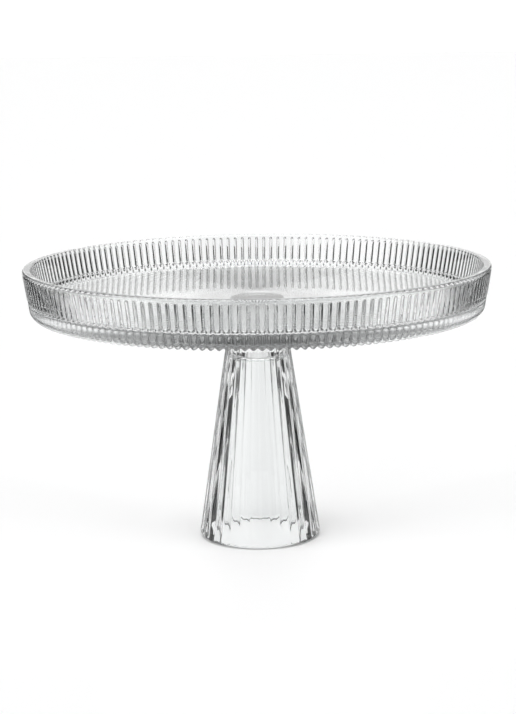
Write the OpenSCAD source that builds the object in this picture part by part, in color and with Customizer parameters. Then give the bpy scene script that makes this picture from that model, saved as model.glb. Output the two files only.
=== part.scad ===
// Pressed-glass cake stand: a ribbed tray bonded to a hollow fluted foot.
// Millimetres, +Z up. The origin is on the table, under the middle of the foot.

/* [Overall] */
// Diameter of the tray at its lip
tray_d = 300; // [220:1:380]
// Height from the table to the top of the lip
stand_h = 180; // [130:1:260]

/* [Tray] */
// Depth of the tray, from its lip to its floor
tray_depth = 20.8; // [14:0.1:28]
// Thickness of the floor, from its top to the crests of the ribs under it
floor_t = 10.4; // [8:0.1:14]
// Thickness of the wall at the lip, measured level
wall_t = 5.6; // [4.6:0.1:8]
// Lean of the wall's outer side, in degrees from upright
outer_lean = 8.8; // [4:0.1:14]
// Lean of the wall's inner side, in degrees from upright
inner_lean = 12; // [6:0.1:18]
// Radius of the lip's two edges
lip_r = 1.8; // [0.8:0.1:2.2]
// Radius of the corner between the floor and the wall
corner_r = 3; // [1:0.1:6]

/* [Band below the wall] */
// Height of the wall's foot above the tray's floor
band_rise = 2; // [0:0.1:4]
// Step in from the wall's foot to the band
band_step = 0.3; // [0.2:0.1:1]
// Radius that turns the band into the underside
band_r = 6; // [4:0.1:7]
// Lean of the band inwards, in degrees from upright
band_lean = 8; // [2:0.5:12]

/* [Ribs of the tray] */
// Number of ribs round the tray
rib_count = 180; // [90:1:220]
// Depth of the grooves between the ribs
groove_depth = 1.4; // [0.6:0.1:2]
// Share of a rib's pitch that its groove takes up
groove_share = 0.4; // [0.25:0.05:0.6]
// Plain margin between the top of the lip and the top of a groove
groove_margin = 2.6; // [2.2:0.1:5]
// Height over which a groove runs out at its top
groove_runout = 1.6; // [0.8:0.1:3]
// Plain ring left round the foot, on the underside
plain_ring = 4; // [2:0.5:20]

/* [Foot] */
// Diameter of the foot's sides where they would reach the table
base_d = 80; // [64:1:120]
// Diameter of the foot where it meets the tray
neck_d = 35; // [29:1:48]
// Thickness of the foot's wall, measured level
foot_wall = 8.8; // [5:0.1:10]
// Solid glass between the roof of the hollow and the tray
neck_solid = 29; // [15:1:60]
// Radius of the foot's outer edge at the table
base_edge_r = 3.2; // [1:0.1:3.5]
// Radius of the hollow's edge at the table
mouth_edge_r = 1.4; // [0.5:0.1:1.5]
// Radius of the hollow's roof edge
roof_edge_r = 3; // [1:0.5:4]

/* [Flutes of the foot] */
// Number of flutes round the foot
flute_count = 36; // [18:1:48]
// Depth of a flute where it would reach the table
flute_depth = 0.5; // [0.3:0.05:0.6]
// Share of a flute's pitch that the flute takes up
flute_share = 0.5; // [0.4:0.05:0.8]
// Radius that a flute's cutter has over a true taper at its narrow end
flute_neck_extra = 0.05; // [0.04:0.01:0.06]

/* [Bond] */
// Thickness of the clear adhesive film between the foot and the tray
bond_t = 0.2; // [0.1:0.05:0.5]
// Distance from the film's edge to the bottom of the flutes at the neck
bond_inset = 0.4; // [0.2:0.1:2]

/* [Hidden] */
$fn = 180;
clear_of = 6;  // how far a cutting shape runs past what it cuts
arc_steps = 5; // straight steps in an outline's arc

// Points of an arc about a centre, from angle a0 to angle a1.
function arc(centre, r, a0, a1) =
    [for (i = [0 : arc_steps])
        let (a = a0 + (a1 - a0) * i / arc_steps)
        [centre[0] + r * cos(a), centre[1] + r * sin(a)]];

// Tray: heights, then radii.
floor_z = stand_h - tray_depth;
under_z = floor_z - floor_t;
wall_foot_z = floor_z + band_rise;
lip_z = stand_h - lip_r;
tray_r = tray_d / 2;
lip_out_r = tray_r - lip_r;
lip_in_r = tray_r - wall_t + lip_r;

// The wall's two sides are straight, and tangent to the lip's edges.
function wall_out(z) = lip_out_r + lip_r / cos(outer_lean) + (z - lip_z) * tan(outer_lean);
function wall_in(z) = lip_in_r - lip_r / cos(inner_lean) + (z - lip_z) * tan(inner_lean);

// The band hangs from the wall's foot and turns into the underside.
band_top_r = wall_out(wall_foot_z) - band_step;
band_centre_z = under_z + band_r;
band_drop = wall_foot_z - band_centre_z;
band_centre_r = band_top_r - band_drop * tan(band_lean) - band_r / cos(band_lean);
band_centre = [band_centre_r, band_centre_z];
corner_z = floor_z + corner_r;
corner_centre = [wall_in(corner_z) - corner_r / cos(inner_lean), corner_z];

tray_outline = concat(
    [[0, under_z]],
    arc(band_centre, band_r, -90, -band_lean),
    [[band_top_r, wall_foot_z]],
    [[wall_out(wall_foot_z), wall_foot_z]],
    arc([lip_out_r, lip_z], lip_r, -outer_lean, 90),
    arc([lip_in_r, lip_z], lip_r, 90, 180 - inner_lean),
    arc(corner_centre, corner_r, -inner_lean, -90),
    [[0, floor_z]]
);

// A groove starts at nothing by the foot, deepens along the underside, turns up
// round the band, and runs out below the lip.
neck_r = neck_d / 2;
fade_r = neck_r + plain_ring;
groove_top_z = stand_h - groove_margin;
runout_z = groove_top_z - groove_runout;
runout_past = 2; // the run-out is drawn this many times its own length
cutter_top_z = runout_z + groove_runout * runout_past;
fade_past = 0.05; // the groove's underside is drawn this share of its length past its end
fade_from_r = fade_r - fade_past * (band_centre_r - fade_r);

groove_outline = concat(
    [[fade_from_r, under_z - fade_past * groove_depth]],
    arc(band_centre, band_r - groove_depth, -90, -band_lean),
    [[band_top_r - groove_depth, wall_foot_z]],
    [[wall_out(runout_z) - groove_depth, runout_z]],
    [[wall_out(runout_z) + groove_depth * (runout_past - 1), cutter_top_z]],
    [[tray_r + clear_of, cutter_top_z]],
    [[tray_r + clear_of, under_z - clear_of]],
    [[fade_from_r, under_z - clear_of]]
);

// Foot: a cone with its tip above the tray.
foot_h = under_z - bond_t;
base_r = base_d / 2;
taper = atan((base_r - neck_r) / foot_h);
tip_z = base_r / tan(taper);
mouth_r = base_r - foot_wall;
roof_z = foot_h - neck_solid;
base_edge = [base_r - base_edge_r * (1 + sin(taper)) / cos(taper), base_edge_r];
mouth_edge = [mouth_r + mouth_edge_r * (1 - sin(taper)) / cos(taper), mouth_edge_r];
roof_edge_z = roof_z - roof_edge_r;
roof_edge = [mouth_r - roof_edge_z * tan(taper) - roof_edge_r / cos(taper), roof_edge_z];

foot_outline = concat(
    [[0, foot_h], [0, roof_z]],
    arc(roof_edge, roof_edge_r, 90, taper),
    arc(mouth_edge, mouth_edge_r, 180 + taper, 270),
    arc(base_edge, base_edge_r, -90, taper),
    [[neck_r, foot_h]]
);

// A flute is a slender cone that narrows with the foot, with its axis through the
// foot's tip. It is a little fuller at the neck, so that no two flutes share a tip.
flute_half = flute_share * PI * base_r / flute_count;
flute_r = (flute_half * flute_half + flute_depth * flute_depth) / (2 * flute_depth);
flute_axis_r = base_r - flute_depth + flute_r;
flute_lean = atan(flute_axis_r / tip_z);
flute_slope = flute_r * cos(flute_lean) * cos(flute_lean) / tip_z;
flute_from = (tip_z - foot_h - clear_of) / cos(flute_lean);
flute_to = (tip_z + clear_of) / cos(flute_lean);

// The film stays inside the bottoms of the flutes.
neck_flute_depth = flute_depth * neck_r / base_r + flute_neck_extra;
bond_r = neck_r - neck_flute_depth - bond_inset;

module tray_groove() {
    rotate([0, 0, -180 * groove_share / rib_count])
        rotate_extrude(angle = 360 * groove_share / rib_count)
            polygon(groove_outline);
}

module flute() {
    translate([0, 0, tip_z])
        rotate([0, 180 - flute_lean, 0])
            translate([0, 0, flute_from])
                cylinder(
                    h = flute_to - flute_from,
                    r1 = flute_from * flute_slope + flute_neck_extra,
                    r2 = flute_to * flute_slope
                );
}

module plate() {
    color("lightcyan")
        difference() {
            rotate_extrude() polygon(tray_outline);
            for (i = [0 : rib_count - 1])
                rotate([0, 0, 360 * i / rib_count - 90]) tray_groove();
        }
}

module foot() {
    color("lightblue")
        difference() {
            rotate_extrude() polygon(foot_outline);
            for (i = [0 : flute_count - 1])
                rotate([0, 0, 360 * i / flute_count - 90]) flute();
        }
}

module bond() {
    color("white")
        translate([0, 0, foot_h])
            cylinder(h = bond_t, r = bond_r);
}

plate();
foot();
bond();
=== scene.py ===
import math
import bpy
import numpy as np
from mathutils import Matrix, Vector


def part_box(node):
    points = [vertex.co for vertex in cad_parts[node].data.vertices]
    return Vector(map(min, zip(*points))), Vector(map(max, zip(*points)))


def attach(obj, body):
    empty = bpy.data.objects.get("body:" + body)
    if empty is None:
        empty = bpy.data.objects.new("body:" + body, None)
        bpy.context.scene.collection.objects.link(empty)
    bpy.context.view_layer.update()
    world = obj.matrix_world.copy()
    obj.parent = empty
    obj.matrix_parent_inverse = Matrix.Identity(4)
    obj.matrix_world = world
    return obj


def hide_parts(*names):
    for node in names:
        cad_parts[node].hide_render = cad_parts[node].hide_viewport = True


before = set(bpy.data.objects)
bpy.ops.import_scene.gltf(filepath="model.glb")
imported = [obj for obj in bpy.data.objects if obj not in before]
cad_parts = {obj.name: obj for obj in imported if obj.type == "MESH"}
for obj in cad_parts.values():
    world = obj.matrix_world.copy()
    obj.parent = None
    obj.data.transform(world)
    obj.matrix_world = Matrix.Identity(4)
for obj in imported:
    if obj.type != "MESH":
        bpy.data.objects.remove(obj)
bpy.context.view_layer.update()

mm = 0.001
scene = bpy.context.scene
print("frame loaded")


def linearColour(hexText):
    # sRGB byte to linear: below 0.04045 divide by 12.92, above it the 2.4 power curve; alpha 1
    channels = [int(hexText[i:i + 2], 16) / 255 for i in (1, 3, 5)]
    return [c / 12.92 if c <= 0.04045 else ((c + 0.055) / 1.055) ** 2.4 for c in channels] + [1.0]


def addNode(tree, kind, settings=None, links=None):
    # settings: a property or an input by name or number; links: input -> (node, output)
    node = tree.nodes.new(kind)
    for key, value in (settings or {}).items():
        if isinstance(key, str) and hasattr(node, key):
            setattr(node, key, value)
        else:
            node.inputs[key].default_value = value
    for key, (source, output) in (links or {}).items():
        tree.links.new(source.outputs[output], node.inputs[key])
    return node


def arcPoints(centre, radius, startDegrees, endDegrees, count):
    # points on a circle in the (r, z) plane: centre plus radius times (cos a, sin a)
    a = np.radians(np.linspace(startDegrees, endDegrees, count))
    return np.stack([centre[0] + radius * np.cos(a), centre[1] + radius * np.sin(a)], 1)


def outwardNormals(outline):
    # the outline runs with the glass on its left, so outward is the travel turned a quarter to the right
    travel = np.gradient(outline, axis=0)
    travel /= np.linalg.norm(travel, axis=1)[:, None] + 1e-12
    return np.stack([travel[:, 1], -travel[:, 0]], 1)


def turned(radius, height, angle):
    # cylinder coordinates to x, y, z; angle 0 points at -Y and grows towards +X
    return np.stack([radius * np.sin(angle), -radius * np.cos(angle), height], -1)


def gridFaces(rings, columns, first=0):
    # quads between neighbouring rings, wrapping round the last column, facing out of the glass
    i, j = np.meshgrid(np.arange(rings - 1), np.arange(columns), indexing="ij")
    k = (j + 1) % columns
    low, high = first + i * columns, first + (i + 1) * columns
    return np.stack([low + j, low + k, high + k, high + j], -1).reshape(-1, 4)


def fanFaces(pole, ring, flip=False):
    # triangles from one pole point to each edge of a closed ring
    nxt = np.roll(ring, -1)
    a, b = (nxt, ring) if flip else (ring, nxt)
    return np.stack([np.full(len(ring), pole), a, b], -1)


def meshFrom(name, points, quads, triangles):
    mesh = bpy.data.meshes.new(name)
    loops = np.concatenate([quads.ravel(), triangles.ravel()]).astype(np.int32)
    sizes = np.concatenate([np.full(len(quads), 4), np.full(len(triangles), 3)])
    mesh.vertices.add(len(points))
    mesh.vertices.foreach_set("co", points.astype(np.float32).ravel())
    mesh.loops.add(len(loops))
    mesh.loops.foreach_set("vertex_index", loops)
    mesh.polygons.add(len(sizes))
    starts = np.concatenate([[0], np.cumsum(sizes)[:-1]])
    mesh.polygons.foreach_set("loop_start", starts.astype(np.int32))
    mesh.polygons.foreach_set("loop_total", sizes.astype(np.int32))
    mesh.polygons.foreach_set("use_smooth", np.ones(len(sizes), bool))
    mesh.update(calc_edges=True)
    mesh.validate()
    piece = bpy.data.objects.new(name, mesh)
    scene.collection.objects.link(piece)
    return piece


plateLow, plateHigh = (np.array(corner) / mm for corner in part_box("plate"))
footLow, footHigh = (np.array(corner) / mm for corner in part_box("foot"))
bondLow, bondHigh = (np.array(corner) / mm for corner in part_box("bond"))
lipZ = plateHigh[2]
underZ = plateLow[2]
trayR = plateHigh[0]
footTopZ = footHigh[2]


tray = {
    "ribs": 180,
    "depth": 20.8,          # lip to floor
    "wall": 5.6,
    "outerLean": 8.8,       # degrees
    "innerLean": 12.0,
    "lipR": 1.8,
    "cornerR": 3.0,
    "bandRise": 2.0,        # wall's foot above the floor
    "bandStep": 0.35,
    "footEdgeR": 0.9,       # rounding of the wall's foot
    "bandLean": 8.0,
    "bandR": 6.0,
    "wallGroove": 1.1,      # depth of a groove on the wall
    "wallShare": 0.48,      # of a rib's pitch
    "wallPower": 1.2,       # 1 is a plain V, 2 a bowl
    "bandGroove": 1.5,
    "margin": 2.6,          # plain lip above the grooves
    "roundTop": 1.3,        # height over which a groove's rounded top closes
    "fadeFrom": 21.5,       # radius where the grooves start under the floor
    "fadeTo": 60.0,
    "underRings": (10, 21.5, 27, 36, 50, 70, 100, 128),      # radii of the rings under the floor
    "floorRings": (120, 80, 40, 10),
    "innerHeights": (14, 8),                                 # above the floor
}

# places across half a rib's pitch, from a groove's middle to the next crest's, as shares of the
# pitch; a pair close together stands for the slightly rounded edge of a groove on the wall
halfRib = np.array([0, 0.05, 0.10, 0.155, 0.2, 0.23, 0.31, 0.4, 0.5])
acrossRib = np.concatenate([-halfRib[:0:-1], halfRib[:-1]])


def trayOutline(t):
    # the crests' outline from the underside's middle, round the band and wall, to the lip's top
    floorZ, lipC = lipZ - t["depth"], lipZ - t["lipR"]
    tanOut, cosOut = math.tan(math.radians(t["outerLean"])), math.cos(math.radians(t["outerLean"]))
    tanIn, cosIn = math.tan(math.radians(t["innerLean"])), math.cos(math.radians(t["innerLean"]))
    outC, inC = trayR - t["lipR"], trayR - t["wall"] + t["lipR"]

    def wallOut(z):
        return outC + t["lipR"] / cosOut + (z - lipC) * tanOut

    def wallIn(z):
        return inC - t["lipR"] / cosIn + (z - lipC) * tanIn

    edge = t["footEdgeR"]
    wallFootZ = floorZ + t["bandRise"]
    edgeC = [wallOut(wallFootZ + edge) - edge / cosOut, wallFootZ + edge]
    bandTop = [wallOut(wallFootZ) - t["bandStep"], wallFootZ]
    tanBand, cosBand = (f(math.radians(t["bandLean"])) for f in (math.tan, math.cos))
    bandCz = underZ + t["bandR"]
    bandC = [bandTop[0] - (wallFootZ - bandCz) * tanBand - t["bandR"] / cosBand, bandCz]
    grooveTop = lipZ - t["margin"]
    underside = np.array([[r, underZ] for r in t["underRings"]])
    band = arcPoints(bandC, t["bandR"], -90, -t["bandLean"], 9)
    bandMid = (band[-1] + np.array(bandTop)) / 2
    foot = arcPoints(edgeC, edge, -62, -t["outerLean"], 4)
    wallZ = np.array([wallFootZ + 7, grooveTop - t["roundTop"]])
    closing = grooveTop - t["roundTop"] * (1 - np.sin(np.radians([28, 52, 72, 90])))
    wall = np.array([[wallOut(z), z] for z in np.concatenate([wallZ, closing])])
    outer = np.vstack([underside, band, bandMid, bandTop, foot, wall])
    inner = np.vstack([
        arcPoints([outC, lipC], t["lipR"], -t["outerLean"], 90, 9),
        arcPoints([inC, lipC], t["lipR"], 90, 180 - t["innerLean"], 9),
        [[wallIn(floorZ + h), floorZ + h] for h in t["innerHeights"]],
        arcPoints([wallIn(floorZ + t["cornerR"]) - t["cornerR"] / cosIn, floorZ + t["cornerR"]],
                  t["cornerR"], -t["innerLean"], -90, 7),
        [[r, floorZ] for r in t["floorRings"]],
    ])
    marks = {"bandStart": len(underside), "bandEnd": len(underside) + len(band) + 2,
             "grooveTop": grooveTop, "wallFootZ": wallFootZ, "floorZ": floorZ}
    return outer, inner, marks


def trayGrooves(outer, marks, t):
    # depth of the groove at each place across a rib (columns) and each point of the outline (rows):
    # on the wall nearly a V, 1 - (u / half width) to the wallPower; on the band and under the floor
    # a wave, half of 1 + cosine, as wide as the pitch
    z, r = outer[:, 1], outer[:, 0]
    onWall = np.arange(len(outer)) >= marks["bandEnd"]
    below = np.clip((marks["grooveTop"] - z) / t["roundTop"], 0, 1)
    half = np.where(onWall, t["wallShare"] / 2 * np.sqrt(1 - (1 - below) ** 2), t["wallShare"] / 2)
    u = np.abs(acrossRib)[None, :]
    bowl = np.clip(1 - (u / np.maximum(half, 1e-4)[:, None]) ** t["wallPower"], 0, 1)
    wave = 0.5 + 0.5 * np.cos(2 * np.pi * u)
    fade = np.clip((r - t["fadeFrom"]) / (t["fadeTo"] - t["fadeFrom"]), 0, 1)
    under = t["bandGroove"] * fade * np.clip(r / outer[marks["bandStart"], 0], 0, 1)
    wallDepth = t["wallGroove"] * np.where(onWall, np.sqrt(below), 0)
    return np.where(onWall[:, None], wallDepth[:, None] * bowl, under[:, None] * wave)


def makeTray(t):
    outer, inner, marks = trayOutline(t)
    depth = trayGrooves(outer, marks, t)
    depth = np.tile(depth, (1, t["ribs"]))
    pitch = 2 * np.pi / t["ribs"]
    angle = ((np.arange(t["ribs"])[:, None] + acrossRib[None, :]) * pitch).ravel()
    normal = outwardNormals(outer)
    radius = outer[:, :1] - depth * normal[:, :1]
    height = outer[:, 1:] - depth * normal[:, 1:]
    ribbed = turned(radius, height, angle[None, :])
    step = len(acrossRib) // 2          # the smooth lip and inside keep every eighth column
    plain = turned(inner[:, :1], inner[:, 1:] + 0 * angle[None, ::step], angle[None, ::step])
    many, few = len(angle), len(angle) // step
    firstInner = ribbed[..., 0].size
    points = np.vstack([ribbed.reshape(-1, 3), plain.reshape(-1, 3),
                        [[0, 0, underZ], [0, 0, marks["floorZ"]]]]) * mm
    quads = np.vstack([gridFaces(len(outer), many), gridFaces(len(inner), few, firstInner)])
    lastRing = (len(outer) - 1) * many + np.arange(many)
    ringIn = firstInner + np.arange(few)
    fan = np.repeat(ringIn, step)
    joins = np.vstack([
        np.stack([lastRing, np.roll(lastRing, -1), fan], -1),
        np.stack([np.roll(lastRing[::step], -1), np.roll(ringIn, -1), ringIn], -1),
    ])
    lastInner = firstInner + (len(inner) - 1) * few + np.arange(few)
    poles = len(points) - 2
    triangles = np.vstack([joins, fanFaces(poles, np.arange(many), True), fanFaces(poles + 1, lastInner)])
    return meshFrom("glass_tray", points, quads, triangles)


glassTray = makeTray(tray)
print("tray", len(glassTray.data.polygons))


foot = {
    "baseR": 40.0,
    "neckR": 17.5,
    "wall": 8.8,
    "neckSolid": 29.0,
    "baseEdgeR": 3.2,
    "mouthEdgeR": 1.4,
    "roofEdgeR": 3.0,
    "flutes": 36,
    "fluteDepth": 0.5,      # at the table; it narrows with the foot
    "reedPower": 3.5,       # how suddenly a reed's rounded face turns down into the flute beside it
    "across": 20,           # places across one flute
}


def footOutline(f):
    # half the foot's section, with the glass on the left of travel: up the outside from the table's
    # flat ring, over the top, then back down through the hollow
    taper = math.atan((f["baseR"] - f["neckR"]) / footTopZ)
    tanT, sinT, cosT = math.tan(taper), math.sin(taper), math.cos(taper)
    degrees = math.degrees(taper)
    baseC = [f["baseR"] - f["baseEdgeR"] * (1 + sinT) / cosT, f["baseEdgeR"]]
    mouthR = f["baseR"] - f["wall"]
    mouthC = [mouthR + f["mouthEdgeR"] * (1 - sinT) / cosT, f["mouthEdgeR"]]
    roofZ = footTopZ - f["neckSolid"]
    roofCz = roofZ - f["roofEdgeR"]
    roofC = [mouthR - roofCz * tanT - f["roofEdgeR"] / cosT, roofCz]
    sideZ = np.linspace(8, footTopZ, 15)
    side = np.stack([f["baseR"] - sideZ * tanT, sideZ], 1)
    outer = np.vstack([arcPoints(baseC, f["baseEdgeR"], -90, degrees, 10), side])
    top = np.array([[f["neckR"] - 0.6, footTopZ], [f["neckR"] * 0.7, footTopZ], [f["neckR"] * 0.3, footTopZ]])
    hollow = np.vstack([
        [[f["neckR"] * 0.2, roofZ], [f["neckR"] * 0.5, roofZ]],
        arcPoints(roofC, f["roofEdgeR"], 90, degrees, 8),
        [[mouthR - z * tanT, z] for z in (90, 60, 30, 10)],
        arcPoints(mouthC, f["mouthEdgeR"], 180 + degrees, 270, 6),
    ])
    return outer, top, hollow, roofZ


def makeFoot(f):
    outer, top, hollow, roofZ = footOutline(f)
    across = (np.arange(f["across"]) / f["across"]) - 0.5
    # how deep each place lies: nothing along a reed's middle, the full depth in the narrow flute
    # between two reeds
    bowl = np.abs(across * 2) ** f["reedPower"]
    pitch = 2 * np.pi / f["flutes"]
    angle = ((np.arange(f["flutes"])[:, None] + 0.5 + across[None, :]) * pitch).ravel()
    flute = np.tile(bowl, f["flutes"])[None, :]
    # a flute's floor is a smaller cone; the base's rounding meets it where it is smaller still
    cone = f["baseR"] - outer[:, 1] * (f["baseR"] - f["neckR"]) / footTopZ
    floorR = cone[:, None] * (1 - f["fluteDepth"] / f["baseR"] * flute)
    radius = np.minimum(outer[:, :1], floorR)
    outside = turned(radius, outer[:, 1:] + 0 * radius, angle[None, :])
    capR = np.minimum(top[:, :1], radius[-1:] - 0.3)
    cap = turned(capR, top[:, 1:] + 0 * capR, angle[None, :])
    inside = turned(hollow[:, :1], hollow[:, 1:] + 0 * angle[None, :], angle[None, :])
    columns = len(angle)
    shell = np.concatenate([outside, cap])
    firstHollow = shell[..., 0].size
    points = np.vstack([shell.reshape(-1, 3), inside.reshape(-1, 3),
                        [[0, 0, footTopZ], [0, 0, roofZ]]]) * mm
    lastHollow = firstHollow + (len(hollow) - 1) * columns
    j = np.arange(columns)
    k = (j + 1) % columns
    ring = np.stack([lastHollow + j, lastHollow + k, k, j], -1)      # the flat ring on the table
    quads = np.vstack([gridFaces(len(shell), columns), gridFaces(len(hollow), columns, firstHollow), ring])
    poles = len(points) - 2
    triangles = np.vstack([fanFaces(poles, (len(shell) - 1) * columns + j),
                           fanFaces(poles + 1, firstHollow + j, True)])
    return meshFrom("glass_foot", points, quads, triangles)


glassFoot = makeFoot(foot)
print("foot", len(glassFoot.data.polygons))


# the film reaches a hair into the tray and the foot, so that light passes from one to the other
bond = {"edgeR": 0.06, "columns": 180, "overlap": 0.01}


def makeBond(b):
    radius, e = bondHigh[0], b["edgeR"]
    low, high = bondLow[2] - b["overlap"], bondHigh[2] + b["overlap"]
    outline = np.vstack([
        [[radius * 0.5, low]],
        arcPoints([radius - e, low + e], e, -90, 0, 4),
        arcPoints([radius - e, high - e], e, 0, 90, 4),
        [[radius * 0.5, high]],
    ])
    angle = np.arange(b["columns"]) * 2 * np.pi / b["columns"]
    rings = turned(outline[:, :1], outline[:, 1:] + 0 * angle[None, :], angle[None, :])
    points = np.vstack([rings.reshape(-1, 3), [[0, 0, low], [0, 0, high]]]) * mm
    quads = gridFaces(len(outline), len(angle))
    j = np.arange(len(angle))
    poles = len(points) - 2
    triangles = np.vstack([fanFaces(poles, j, True),
                           fanFaces(poles + 1, (len(outline) - 1) * len(angle) + j)])
    return meshFrom("bond_film", points, quads, triangles)


bondFilm = makeBond(bond)
print("bond", len(bondFilm.data.polygons))


# a long way through the glass, as along the tray's floor, takes more of the light, red a little more
glassLoss = {"Color": (0.02, 0.04, 0.04, 1.0), "Density": 3.0}


def pressedGlass(name, tint, waveMm, waveDepth):
    material = bpy.data.materials.new(name)
    material.use_nodes = True
    tree = material.node_tree
    tree.nodes.clear()
    place = addNode(tree, "ShaderNodeTexCoord")
    slow = addNode(tree, "ShaderNodeTexNoise", {"Scale": 1 / (waveMm * mm), "Detail": 1.5, "Roughness": 0.4},
                   {"Vector": (place, "Object")})
    ripple = addNode(tree, "ShaderNodeBump", {"Strength": 1.0, "Distance": waveDepth * mm},
                     {"Height": (slow, "Fac")})
    shader = addNode(tree, "ShaderNodeBsdfPrincipled", {
        "Base Color": linearColour(tint), "Roughness": 0.0, "IOR": 1.52, "Transmission Weight": 1.0,
    }, {"Normal": (ripple, "Normal")})
    loss = addNode(tree, "ShaderNodeVolumeAbsorption", glassLoss)
    addNode(tree, "ShaderNodeOutputMaterial", None, {"Surface": (shader, "BSDF"), "Volume": (loss, "Volume")})
    return material


trayGlass = pressedGlass("pressed_soda_lime_glass", "#FCFDFD", 9, 0.05)
footGlass = pressedGlass("pressed_soda_lime_foot_glass", "#FAFBFB", 12, 0.06)
bondGlass = pressedGlass("uv_cured_acrylate", "#FEFEFD", 4, 0.01)

for piece, material, node, slotName in (
    (glassTray, trayGlass, "plate", "plate_glass"),
    (glassFoot, footGlass, "foot", "foot_glass"),
    (bondFilm, bondGlass, "bond", "clear_adhesive"),
):
    piece.data.materials.append(material)
    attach(piece, "root")
    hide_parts(node)


def flatPiece(name, corners, height, material):
    # one flat face lying at a height above the table, its corners going round from above
    mesh = bpy.data.meshes.new(name)
    mesh.from_pydata([(x, y, height) for x, y in corners], [], [tuple(range(len(corners)))])
    mesh.materials.append(material)
    piece = bpy.data.objects.new(name, mesh)
    scene.collection.objects.link(piece)
    return piece


def plainPaint(name, hexText, roughness, specular=0.5, glow=0.0):
    material = bpy.data.materials.new(name)
    material.use_nodes = True
    paint = material.node_tree.nodes["Principled BSDF"]
    paint.inputs["Base Color"].default_value = linearColour(hexText)
    paint.inputs["Roughness"].default_value = roughness
    paint.inputs["Specular IOR Level"].default_value = specular
    paint.inputs["Emission Color"].default_value = linearColour(hexText)
    paint.inputs["Emission Strength"].default_value = glow
    return material


stage = {
    "floorHalf": 12.0,
    "cardHeight": 0.001,
    # the paper disc in the foot's mouth, whose glow is painted light
    "mouthR": 0.0323,
    "mouthHeight": 0.00025,
    "mouthPaintedGlow": 0.62,
    # dark felt cards that lie on the table at the back left and right, seen only through the glass
    "backCard": [(0.085, 0.02), (1.6, 0.34), (1.6, 1.5), (0.7, 1.5), (0.30, 0.70), (0.20, 0.16),
                 (0.075, 0.07)],
    "frontCard": [(0.08, -0.50), (0.36, -0.50), (0.36, -0.24), (0.08, -0.24)],
    "overheadPower": 1.7,
    "overheadAngle": 70,
    "skyStrength": 1.4,
    "plainWhite": 1.1,      # what the camera itself sees beyond the table
}
floorHalf = stage["floorHalf"]
whitePaper = plainPaint("matt_white_paper", "#F6F6F6", 0.9)
floorCorners = [(x * floorHalf, y * floorHalf) for x, y in ((-1, -1), (1, -1), (1, 1), (-1, 1))]
flatPiece("pale_floor", floorCorners, 0, whitePaper)
blackFelt = plainPaint("black_felt", "#050505", 1.0, 0.0)
# the paper inside the foot's mouth glows with painted light, as bright as the light that the glass gathers
# there
paintedMouthLight = plainPaint("paper_with_painted_light", "#F6F6F6", 0.9, 0.5, stage["mouthPaintedGlow"])
ring = np.radians(np.arange(0, 360, 5))
mouthEdge = np.stack([np.cos(ring), np.sin(ring)], 1) * stage["mouthR"]
flatPiece("mouth_painted_light", mouthEdge.tolist(), stage["mouthHeight"], paintedMouthLight)
for side in (-1, 1):
    for label, corners in (("back", stage["backCard"]), ("front", stage["frontCard"])):
        card = flatPiece(f"{label}_card_{'left' if side < 0 else 'right'}",
                         [(side * x, y) for x, y in corners][::side], stage["cardHeight"], blackFelt)
        card.visible_camera = card.visible_diffuse = card.visible_shadow = False

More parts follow.
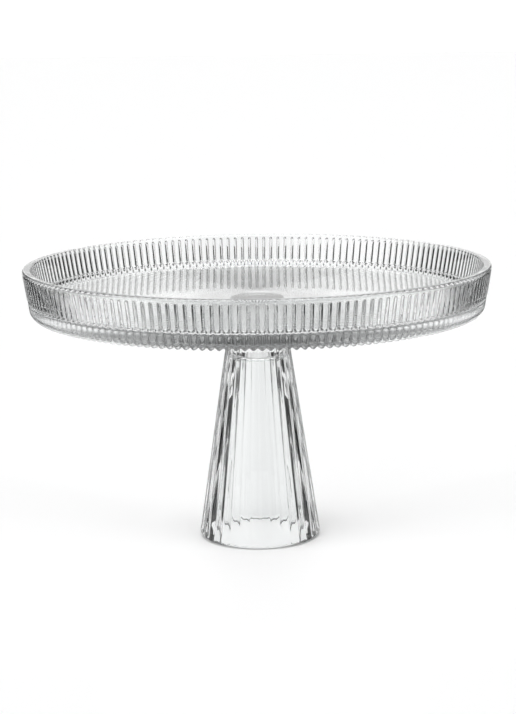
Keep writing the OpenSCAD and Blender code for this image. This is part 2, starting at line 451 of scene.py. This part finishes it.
# the studio round the table: a lit backdrop straight behind, a big window-like light on each side
# and dark room between them; the camera itself sees plain white
# angle from straight behind, growing to the right, and brightness there as a share of skyStrength
studio = ((-180, 0.2), (-150, 0.95), (-86, 0.9), (-78, 0.0), (-18, 0.0), (-12, 0.68),
          (12, 0.68), (18, 0.0), (78, 0.0), (86, 0.6), (130, 0.65), (160, 0.2), (180, 0.2))
world = bpy.data.worlds.new("soft_studio")
scene.world = world
world.use_nodes = True
sky = world.node_tree
sky.nodes.clear()
ray = addNode(sky, "ShaderNodeTexCoord")
split = addNode(sky, "ShaderNodeSeparateXYZ", None, {"Vector": (ray, "Generated")})
bearing = addNode(sky, "ShaderNodeMath", {"operation": "ARCTAN2"}, {0: (split, "X"), 1: (split, "Y")})
turn = addNode(sky, "ShaderNodeMath", {"operation": "MULTIPLY_ADD", 1: 0.5 / math.pi, 2: 0.5},
               {0: (bearing, "Value")})
ramp = addNode(sky, "ShaderNodeValToRGB", None, {"Fac": (turn, "Value")})
for k, (degrees, share) in enumerate(studio):
    place = degrees / 360 + 0.5
    stop = ramp.color_ramp.elements[k] if k < 2 else ramp.color_ramp.elements.new(place)
    stop.position = place
    stop.color = (share, share, share, 1)
room = addNode(sky, "ShaderNodeBackground", {"Strength": stage["skyStrength"]}, {"Color": (ramp, "Color")})
plain = addNode(sky, "ShaderNodeBackground", {"Color": (1, 1, 1, 1), "Strength": stage["plainWhite"]})
path = addNode(sky, "ShaderNodeLightPath")
both = addNode(sky, "ShaderNodeMixShader", None,
               {0: (path, "Is Camera Ray"), 1: (room, "Background"), 2: (plain, "Background")})
addNode(sky, "ShaderNodeOutputWorld", None, {"Surface": (both, "Shader")})

overhead = bpy.data.lights.new("overhead_softbox", "SUN")
overhead.energy = stage["overheadPower"]
overhead.angle = math.radians(stage["overheadAngle"])
overheadPiece = bpy.data.objects.new("overhead_softbox", overhead)
overheadPiece.visible_camera = False     # it lights the table and shows as a sheen on the glass
scene.collection.objects.link(overheadPiece)
# clear glass lets nearly all of this light through, so only the foot shades the paper
glassTray.visible_shadow = glassTray.visible_diffuse = False
bondFilm.visible_shadow = bondFilm.visible_diffuse = False

scene.view_settings.view_transform = "Standard"
scene.cycles.max_bounces = 24
scene.cycles.transmission_bounces = 24
scene.cycles.glossy_bounces = 8
scene.cycles.diffuse_bounces = 3

lens = {"focal": 91.0, "sensor": 36.0, "distance": 1.150, "height": 0.3417, "pitch": 11.0, "roll": -0.76}
cameraData = bpy.data.cameras.new("camera")
cameraData.sensor_width = lens["sensor"]
cameraData.lens = lens["focal"]
camera = bpy.data.objects.new("camera", cameraData)
scene.collection.objects.link(camera)
camera.location = (0, -lens["distance"], lens["height"])
camera.rotation_euler = (Matrix.Rotation(math.radians(90 - lens["pitch"]), 3, "X")
                         @ Matrix.Rotation(math.radians(lens["roll"]), 3, "Z")).to_euler()
scene.camera = camera
print("stage ready")
